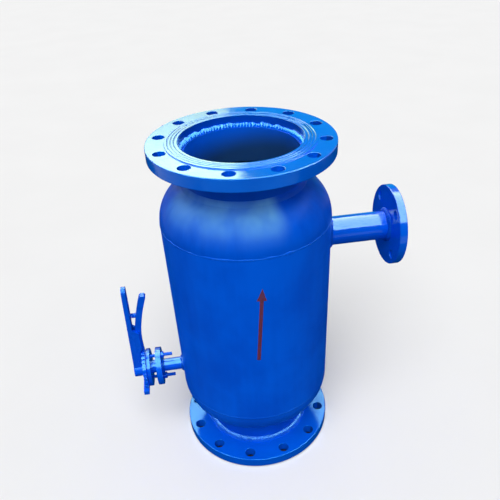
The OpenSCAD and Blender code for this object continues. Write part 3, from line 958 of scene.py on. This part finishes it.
@dataclass
class Vessel:
    """Shell, heads, necks and their welds."""

    finishes: Finishes
    shell_r: float = SHELL_R
    neck_r: float = NECK_R
    lower_seam: float = 157.0 * MM
    upper_seam: float = 553.0 * MM
    head_h: float = 76.4 * MM
    cone_slope: float = 0.6249
    leg: float = 6.4 * MM
    seam_w: float = 3.6 * MM
    seam_h: float = 0.3 * MM
    faint_w: float = 5.0 * MM
    faint_h: float = 0.03 * MM

    def seam(self, node: str, height: float, width: float, proud: float, seed: int) -> WeldBead:
        """Flat bead over a seam of the shell."""
        root, away = ring(self.shell_r, (0, 0, height), RING_STEPS)
        return WeldBead(node, root, (0, 0, 1), away, width / 2, proud, seed, BeadShape.CAP, lump=0.75)

    def build(self) -> None:
        """Lays the welds and paints the shell, heads and necks."""
        looks = self.finishes
        self.seam("upper_seam_weld", self.upper_seam, self.seam_w, self.seam_h, 11).lay(looks.seam)
        hollow = dict(legs=(self.leg, self.leg), slope=self.cone_slope, lump=0.05, crest=0.02, bulge=2.6)
        top, bottom = (0, 0, self.upper_seam + self.head_h), (0, 0, self.lower_seam - self.head_h)
        corner_bead("upper_neck_weld", self.neck_r, top, (1, 1), seed=13, **hollow).lay(looks.head)
        self.seam("lower_seam_weld", self.lower_seam, self.faint_w, self.faint_h, 12).lay(looks.shell)
        corner_bead("lower_neck_weld", self.neck_r, bottom, (1, -1), seed=14, **hollow).lay(looks.shell)
        paint(looks.shell, "shell", "lower_head")
        paint(looks.head, "upper_head")
        # The necks take the darker paint: painted shade under the flanges.
        paint(looks.neck, "outlet_neck", "inlet_neck")


@dataclass
class PipeFlanges:
    """The two pipe flanges with the welds that hold them to the necks."""

    finishes: Finishes
    total_h: float = 704.0 * MM
    flange_t: float = 25.0 * MM
    bore_r: float = 111.0 * MM
    neck_r: float = NECK_R
    neck_recess: float = 21.0 * MM
    outer_leg: float = 9.0 * MM
    inner_leg: float = 7.0 * MM
    inner_foot: float = 5.4 * MM
    inner_ripple: float = 6.2 * MM
    edge: float = 0.8 * MM

    def build(self) -> None:
        """Lays the welds and paints the flanges."""
        looks = self.finishes
        lumpy = dict(ripple=self.inner_ripple, lump=0.30, crest=0.45, coarse=2)
        plain = dict(lump=0.20, crest=0.16)
        inner, outer = (self.inner_foot, self.inner_leg), (self.outer_leg, self.outer_leg)
        recess, back = self.total_h - self.neck_recess, self.total_h - self.flange_t
        for finish, node, radius, height, turned, legs, seed, look in (
            # Welds inside the mouths take the lighter paint: painted highlight.
            (looks.highlit_mouth_weld, "outlet_inner_weld", self.bore_r, recess, (-1, 1), inner, 21, lumpy),
            (looks.highlit_mouth_weld, "inlet_inner_weld", self.bore_r, self.neck_recess, (-1, -1), inner, 22, lumpy),
            (looks.weld, "outlet_outer_weld", self.neck_r, back, (1, -1), outer, 23, plain),
            (looks.weld, "inlet_outer_weld", self.neck_r, self.flange_t, (1, 1), outer, 24, plain),
        ):
            corner_bead(node, radius, (0, 0, height), turned, legs, seed, **look).lay(finish)
        fit(softened("outlet_flange", self.edge), looks.flange, "outlet_flange")
        # The bottom flange takes the darker paint: painted shade.
        fit(softened("inlet_flange", self.edge), looks.shaded_base_flange, "inlet_flange")


@dataclass
class Branch:
    """A level branch on the shell: its saddle weld and the welds of its flange."""

    finishes: Finishes
    side: float
    radius: float
    height: float
    leg: float
    saddle_node: str
    seed: int
    shell_r: float = SHELL_R

    def saddle(self) -> WeldBead:
        """Bead on the curve where the branch leaves the shell.

        With t round the branch, y = r cos t, z = r sin t and x = sqrt(R^2 - y^2). One leg lies along the
        branch, and the other along the shell, away from the branch.

        Returns:
            The bead.
        """
        root, away = ring(self.radius, (0, 0, self.height), BRANCH_STEPS, level=True)
        root[:, 0] = self.side * np.sqrt(self.shell_r**2 - root[:, 1] ** 2)
        skin = root * (1, 1, 0) / self.shell_r
        away = away - (away * skin).sum(1, keepdims=True) * skin
        away /= np.linalg.norm(away, axis=1, keepdims=True)
        return WeldBead(self.saddle_node, root, (self.side, 0, 0), away, self.leg, self.leg, self.seed)

    def collar(self, node: str, radius: float, reach: float, turned: Span, legs: Span, seed: int) -> WeldBead:
        """Bead round the branch in the corner at a radius and a place along X."""
        return corner_bead(node, radius, (reach, 0, self.height), turned, legs, seed, level=True)


@dataclass
class DrainBranch(Branch):
    """Drain pipe with its flange."""

    side: float = 1.0
    radius: float = 28.5 * MM
    height: float = 494.0 * MM
    leg: float = 6.0 * MM
    saddle_node: str = "drain_branch_weld"
    seed: int = 31
    back: float = 282.0 * MM
    back_legs: Span = (6.0 * MM, 6.0 * MM)
    end: float = 293.0 * MM
    end_legs: Span = (4.5 * MM, 5.0 * MM)
    bore: float = 29.5 * MM
    edge: float = 0.8 * MM

    def build(self) -> None:
        """Lays the welds and paints the pipe and flange."""
        # The drain's welds take the darker paint: painted shade in the corners.
        look, weld = self.finishes.branch, self.finishes.shaded_drain_weld
        self.saddle().lay(weld)
        self.collar("drain_back_weld", self.radius, self.back, (1, -1), self.back_legs, 32).lay(weld)
        self.collar("drain_inner_weld", self.bore, self.end, (-1, 1), self.end_legs, 33).lay(weld)
        paint(look, "drain_pipe")
        fit(softened("drain_flange", self.edge), look, "drain_flange")


@dataclass
class StemHousing(Branch):
    """Stem sleeve, its flange, the bonnet with studs and nuts, and the notch plate."""

    side: float = -1.0
    radius: float = 14.0 * MM
    height: float = 195.0 * MM
    leg: float = 4.0 * MM
    saddle_node: str = "sleeve_branch_weld"
    seed: int = 41
    reach: float = 208.0 * MM
    stud_r: float = 4.0 * MM
    stud_place: float = 31.5 * MM
    stud_low: float = 183.0 * MM
    stud_high: float = 239.0 * MM
    stud_taper: float = 0.8 * MM
    thread: float = 1.25 * MM
    thread_depth: float = 0.62 * MM
    nut_r: float = 7.52 * MM
    nut_h: float = 6.4 * MM
    nut_face: float = 0.97
    nut_bore_r: float = 3.8 * MM
    nut_sharp: float = math.radians(28)
    edge: float = 0.5 * MM

    def pair(self, name: str, s: np.ndarray, radius: np.ndarray, turn: np.ndarray, closed: bool) -> Piece:
        """Two equal pieces, one above the stem and one below it.

        A point lies at s along the piece's level axis, and at the radius and the angle round it.

        Args:
            name: Name of the piece.
            s: Place along the axis of each row of points.
            radius: Radius at each point.
            turn: Angle of each column of points.
            closed: True if the last row joins the first.

        Returns:
            The piece.
        """
        along = np.broadcast_to(-s[:, None], radius.shape)
        side, up = radius * np.cos(turn), radius * np.sin(turn)
        heights = (self.height + self.stud_place, self.height - self.stud_place)
        points = np.stack([np.stack([along, side, height + up], axis=-1) for height in heights])
        faces = grid_faces(*radius.shape, closed, True)
        if closed:
            faces = outward(points[0], faces)
        return mesh_object(name, points, np.concatenate([faces, faces + radius.size]))

    def studs(self) -> Piece:
        """Two threaded studs.

        With t round the stud and s along it, the radius is r - d |saw(s / pitch - t / 2 pi)|, and it tapers
        at the ends.

        Returns:
            The piece.
        """
        along, around = 360, 28
        turn = full_turn(around)
        s = np.linspace(self.stud_low, self.stud_high, along)
        saw = np.abs(((s[:, None] / self.thread - turn / (2 * np.pi)) % 1.0) - 0.5) * 2
        ends = np.minimum(s - s[0], s[-1] - s)[:, None]
        radius = np.minimum(self.stud_r - self.thread_depth * saw, self.stud_r - self.stud_taper + ends)
        radius[[0, -1]] = 0.0
        s[[0, -1]] = s[[1, -2]]
        made = self.pair("bonnet_studs_threaded", s, radius, turn, False)
        close_poles(made)
        return made

    def nuts(self) -> Piece:
        """Two chamfered hexagon nuts.

        With t round the nut, the hexagon's radius is a / cos(t mod 60 - 30 degrees), cut by a cone at both
        faces. The grid goes over one face, up the outside, over the other face and back through the bore.

        Returns:
            The piece.
        """
        around = 72
        turn = full_turn(around)
        flat = self.nut_r * math.cos(math.pi / 6)
        hexagon = flat / np.cos((turn % (np.pi / 3)) - np.pi / 6)
        rise = np.array([0.0, 0.0, 0.35, 0.7, 1.1]) * MM
        spread = np.array([0.0, 0.0, 0.45, 0.9, 2.0]) * MM
        heights = np.concatenate([rise, self.nut_h - rise[::-1]])
        cone = np.concatenate([spread, spread[::-1]]) + flat * self.nut_face
        radius = np.minimum(hexagon, cone[:, None])
        radius[[0, -1]] = self.nut_bore_r
        s = self.reach - self.nut_h + heights
        made = self.pair("bonnet_nuts_chamfered", s, radius, np.pi / 2 - turn, True)
        made.data.set_sharp_from_angle(angle=self.nut_sharp)
        return made

    def build(self) -> None:
        """Lays the welds, makes the fasteners and paints the group."""
        looks = self.finishes
        self.saddle().lay(looks.weld)
        legs = (self.leg, self.leg)
        self.collar("sleeve_flange_weld", self.radius, -self.reach, (1, 1), legs, 42).lay(looks.weld)
        fit(self.studs(), looks.casting, "bonnet_studs")
        fit(self.nuts(), looks.plate, "bonnet_nuts")
        for node in ("sleeve_flange", "bonnet", "notch_plate"):
            fit(softened(node, self.edge), looks.plate, node)
        paint(looks.plate, "stem_sleeve", "plate_screws")


@dataclass
class LeverGroup:
    """Hand lever with its trigger, pivot and return spring."""

    finishes: Finishes
    spring_height: float = 345.0 * MM
    spring_low: float = 242.8 * MM
    spring_slope: float = 0.25
    spring_high: float = 258.6 * MM
    spring_r: float = 4.4 * MM
    wire_r: float = 0.9 * MM
    coils: float = 7.5
    end_share: float = 0.11
    end_pitch: float = 0.18
    edge: float = 0.8 * MM

    def spring(self) -> Piece:
        """Coil spring with closed ends.

        The wire's centre goes round t = 0 to 2 pi n at the coil's radius, while its place along the axis
        rises slowly over the end coils and evenly between them. The low end falls with the height, by the
        slope of the trigger's face that it rests on.

        Returns:
            The piece.
        """
        steps, around = 420, 12
        share = np.linspace(0, 1, steps)
        turn = share * 2 * np.pi * self.coils
        inner = np.clip((share - self.end_share) / (1 - 2 * self.end_share), 0, 1)
        rise = self.spring_r * np.sin(turn)
        low = self.spring_low + self.wire_r - self.spring_slope * rise
        high = self.spring_high - self.wire_r
        s = low + (high - low) * ((1 - self.end_pitch) * inner + self.end_pitch * share)
        middle = np.stack([-s, self.spring_r * np.cos(turn), self.spring_height + rise], axis=1)
        ahead = np.gradient(middle, axis=0)
        ahead /= np.linalg.norm(ahead, axis=1, keepdims=True)
        away = np.stack([np.zeros(steps), np.cos(turn), np.sin(turn)], axis=1)
        side = np.cross(ahead, away)
        thick = np.full(steps, self.wire_r)
        thick[[0, -1]] = 0.0
        bend = full_turn(around)[None, :, None]
        section = away[:, None, :] * np.cos(bend) + side[:, None, :] * np.sin(bend)
        points = middle[:, None, :] + section * thick[:, None, None]
        made = mesh_object("trigger_spring_coil", points, grid_faces(steps, around, False, True))
        close_poles(made)
        return made

    def build(self) -> None:
        """Makes the spring and paints the lever group."""
        look = self.finishes.casting
        coil = fit(self.spring(), look, "trigger_spring", body="diverter")
        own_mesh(coil)
        fit(softened("lever", self.edge), look, "lever", body="diverter")
        fit(softened("trigger", self.edge), look, "trigger", body="trigger")
        paint(look, "lever_washer", "lever_screw", "trigger_pin")


@dataclass
class FlowArrow:
    """Stencilled arrow on the front of the shell that shows which way the water goes."""

    finishes: Finishes
    shell_r: float = SHELL_R
    tip: Span = (3.1 * MM, 492.7 * MM)
    tail: Span = (-9.6 * MM, 325.3 * MM)
    head_len: float = 27.0 * MM
    head_half: float = 9.0 * MM
    shaft_half: float = 3.5 * MM
    shaft_steps: int = 120
    head_steps: int = 50
    across_steps: int = 17
    ragged: float = 0.08
    ragged_waves: Span = (900.0, 370.0)
    ragged_shift: float = 1.0
    proud: float = 0.12 * MM
    coat: float = 0.3 * MM

    def build(self) -> None:
        """Lays the arrow on the shell.

        Along the arrow, the half width is that of the shaft up to the head, then falls evenly from the
        head's half width to nothing. Arc length is wrapped round the shell's radius.
        """
        tip, tail = np.array(self.tip), np.array(self.tail)
        length = float(np.linalg.norm(tip - tail))
        neck = length - self.head_len
        shaft, head = np.linspace(0, neck, self.shaft_steps), np.linspace(neck, length, self.head_steps)
        along = np.concatenate([shaft, head])
        taper = np.linspace(self.head_half, 0.0, self.head_steps)
        half = np.concatenate([np.full(self.shaft_steps, self.shaft_half), taper])
        fast, slow = self.ragged_waves
        ragged = 1 + self.ragged * np.sin(along * fast) * np.sin(along * slow + self.ragged_shift)
        ahead = (tip - tail) / length
        beside = np.array([ahead[1], -ahead[0]])
        width = (half * ragged)[:, None] * np.linspace(-1, 1, self.across_steps)
        flat = tail + along[:, None, None] * ahead + width[:, :, None] * beside
        turn = flat[..., 0] / self.shell_r
        radius = self.shell_r + self.proud
        points = np.stack([radius * np.sin(turn), -radius * np.cos(turn), flat[..., 1]], axis=-1)
        arrow = mesh_object("flow_arrow", points, grid_faces(*points.shape[:2], False, False))
        close_poles(arrow)
        coat = arrow.modifiers.new("coat", "SOLIDIFY")
        coat.thickness = self.coat
        coat.offset = -1.0
        fit(arrow, self.finishes.marking)


@dataclass
class Internals:
    """Stem, disc, seat, baskets and drain collar inside the vessel."""

    finishes: Finishes

    def build(self) -> None:
        """Gives the inner pieces their metals."""
        looks = self.finishes
        paint(looks.steel, "stem", "lower_basket", "upper_basket", "drain_collar")
        paint(looks.scaled, "disc", "disc_pins", "seat_ring", "collar_cap", "collar_guides")
        paint(looks.bronze, "near_bush", "far_bush")
        paint(looks.mesh, "lower_mesh", "upper_mesh")
        paint(looks.packing, "packing_rings")


def upright(left: float, right: float, y: float, low: float, high: float) -> tuple[Place, ...]:
    """Corners of an upright rectangle that faces along Y."""
    return ((left, y, low), (right, y, low), (right, y, high), (left, y, high))


def lying(left: float, right: float, near: float, far: float, z: float) -> tuple[Place, ...]:
    """Corners of a level rectangle."""
    return ((left, near, z), (right, near, z), (right, far, z), (left, far, z))


@dataclass(frozen=True)
class MirrorCard:
    """Glowing card that only mirror rays see.

    An even card has one strength. An uneven one has a fade: a low and a high place, and the strength at each.
    """

    name: str
    corners: tuple[Place, ...]
    colour: RGB
    strength: float = 1.0
    fade: tuple[Span, Span] | None = None

    def build(self) -> None:
        """Makes the card and hides it from all rays but mirror rays."""
        made = mesh_object(self.name, np.array(self.corners, float), np.array([range(len(self.corners))]))
        s = SurfaceSketch(self.name + "_light")
        strength = self.strength
        if self.fade:
            strength = s.span(s.axes(s.place)[2], *self.fade)
        glow = s.add("Emission", {"Color": (*self.colour, 1.0), "Strength": strength})
        s.put(s.output.inputs[0], glow.outputs[0])
        dress(made, s.material)
        made.visible_camera = made.visible_diffuse = made.visible_transmission = False
        made.visible_volume_scatter = made.visible_shadow = False


@dataclass
class Studio:
    """Camera, pale floor, soft light and the cards that the gloss paint mirrors."""

    eye: Place = (-0.10066, -0.91214, 1.04971)
    yaw: float = -0.1438
    pitch: float = 0.6365
    roll: float = -0.0403
    focus: float = 543.51
    centre: Span = (265.27, 289.70)
    picture: float = 500.0
    sensor: float = 36.0
    clip: Span = (0.05, 100.0)
    sun: float = 2.5
    sun_way: Place = (0.16, 0.55, -1.0)
    sun_spread: float = 48.0
    sky: float = 0.41
    backdrop: float = 0.92
    sky_tone: RGB = (0.99, 0.995, 1.0)
    floor_half: float = 30.0
    floor_z: float = -0.6 * MM
    floor_tones: tuple[RGB, RGB] = ((0.80, 0.80, 0.80), (0.84, 0.84, 0.84))
    floor_bounce: RGB = (0.22, 0.22, 0.22)
    floor_grain: Grain = Grain((3.0, 3.0, 3.0), 3.0, 0.5, 2.0)
    # Dark sheet under the bottom flange: painted shade in its bolt holes.
    shade_sheet_r: float = 160.0 * MM
    shade_sheet_z: float = -0.3 * MM
    shade_sheet_tones: tuple[RGB, RGB] = ((0.012, 0.013, 0.016), (0.030, 0.031, 0.034))
    shade_sheet_grain: Grain = Grain((300.0, 300.0, 300.0), 3.0, 0.6, 4.4)
    shade_sheet_steps: int = 96
    ceiling: tuple[Place, ...] = (
        (-4.0, -3.6, 2.6), (4.0, -3.6, 2.6), (4.0, 0.6, 2.6), (1.2, 1.75, 2.6), (1.2, 2.5, 2.6),
        (0.745, 2.5, 2.6), (0.735, 1.88, 2.6), (0.45, 1.95, 2.6), (0.0, 2.6, 2.6), (-4.0, 3.2, 2.6),
    )
    window: tuple[Place, ...] = ((-2.6, 4.0, 1.4), (0.26, 4.0, 1.4), (0.448, 4.0, 2.8), (-2.6, 4.0, 3.4))
    window_fade: tuple[Span, Span] = ((1.90, 2.65), (3.2, 13.0))

    def camera(self) -> None:
        """Sets the camera from its yaw, pitch and roll, with the picture's own centre as lens shift."""
        sine, cosine = math.sin(self.yaw), math.cos(self.yaw)
        back = Vector((sine * math.cos(self.pitch), -cosine * math.cos(self.pitch), math.sin(self.pitch)))
        right = Vector((cosine, sine, 0.0))
        up = back.cross(right)
        c, s = math.cos(self.roll), math.sin(self.roll)
        right, up = c * right + s * up, c * up - s * right
        data = bpy.data.cameras.new("camera")
        data.sensor_width = self.sensor
        data.lens = self.focus / self.picture * self.sensor
        data.shift_x = 0.5 - self.centre[0] / self.picture
        data.shift_y = self.centre[1] / self.picture - 0.5
        data.clip_start, data.clip_end = self.clip
        made = bpy.data.objects.new("camera", data)
        turned = Matrix((right, up, back)).transposed()
        made.matrix_world = Matrix.Translation(self.eye) @ turned.to_4x4()
        bpy.context.scene.collection.objects.link(made)
        bpy.context.scene.camera = made

    def floor(self) -> None:
        """Pale floor that keeps the shadow and bounces little light back."""
        half = self.floor_half
        corners = lying(-half, half, -half, half, self.floor_z)
        made = mesh_object("floor", np.array(corners), np.array([range(4)]))
        s = SurfaceSketch("pale_floor")
        pale = s.mix(s.noise(self.floor_grain), *self.floor_tones)
        s.coat(Base_Color=s.mix(s.seen(), self.floor_bounce, pale), Roughness=1.0, Specular_IOR_Level=0.0)
        dress(made, s.material)

    def shade_sheet(self) -> None:
        """Dark sheet that the bottom flange stands on and wholly covers: painted shade, seen only through its
        bolt holes.
        """
        points, _ = ring(self.shade_sheet_r, (0, 0, self.shade_sheet_z), self.shade_sheet_steps)
        made = mesh_object("bolt_hole_shade_sheet", points, np.array([range(len(points))]))
        s = SurfaceSketch("bolt_hole_shade")
        tone = s.mix(s.noise(self.shade_sheet_grain), *self.shade_sheet_tones)
        s.coat(Base_Color=tone, Roughness=0.9, Specular_IOR_Level=0.1)
        dress(made, s.material)

    def cards(self) -> tuple[MirrorCard, ...]:
        """Sets out what the gloss paint mirrors.

        Returns:
            The cards overhead, at the back, on the floor and in front.
        """
        return (
            MirrorCard("ceiling_card", self.ceiling, (0.93, 0.98, 1.0), strength=16.0),
            MirrorCard("window_card", self.window, (0.76, 1.0, 0.36), fade=self.window_fade),
            MirrorCard("floor_card", lying(-1.4, 1.8, -0.9, 3.8, 2.0 * MM), (0.0, 0.06, 0.16)),
            MirrorCard("shade_card", upright(-0.3, 6.0, 4.6, 0.0, 3.6), (0.03, 0.80, 0.90)),
            MirrorCard("front_card", upright(-6.0, 6.0, -3.6, 0.0, 2.6), (0.0, 0.30, 0.55)),
        )

    def light(self) -> None:
        """Soft overhead light and an even sky, which is paler where it is seen than where it lights."""
        lamp = bpy.data.lights.new("overhead", "SUN")
        lamp.energy = self.sun
        lamp.angle = math.radians(self.sun_spread)
        made = bpy.data.objects.new("overhead", lamp)
        made.rotation_euler = Vector(self.sun_way).to_track_quat("-Z", "Y").to_euler()
        made.visible_glossy = False
        bpy.context.scene.collection.objects.link(made)
        world = bpy.data.worlds.new("sky")
        bpy.context.scene.world = world
        s = NodeSketch(world)
        level = s.add("MapRange", {"Value": s.seen(), "To Min": self.sky, "To Max": self.backdrop})
        shade = s.tree.nodes["Background"]
        s.put(shade.inputs["Color"], (*self.sky_tone, 1.0))
        s.put(shade.inputs["Strength"], level.outputs[0])

    def build(self) -> None:
        """Sets up the whole studio."""
        self.camera()
        self.floor()
        self.shade_sheet()
        for card in self.cards():
            card.build()
        self.light()
        bpy.context.scene.view_settings.view_transform = "Standard"


def main() -> None:
    """Builds the studio, the finishes and every sub-assembly in order."""
    logging.basicConfig(level=logging.INFO, format="%(name)s: %(message)s")
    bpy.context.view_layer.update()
    Studio().build()
    finishes = Finishes.build()
    for group in (Vessel, PipeFlanges, DrainBranch, StemHousing, LeverGroup, FlowArrow, Internals):
        group(finishes).build()


if __name__ == "__main__":
    main()
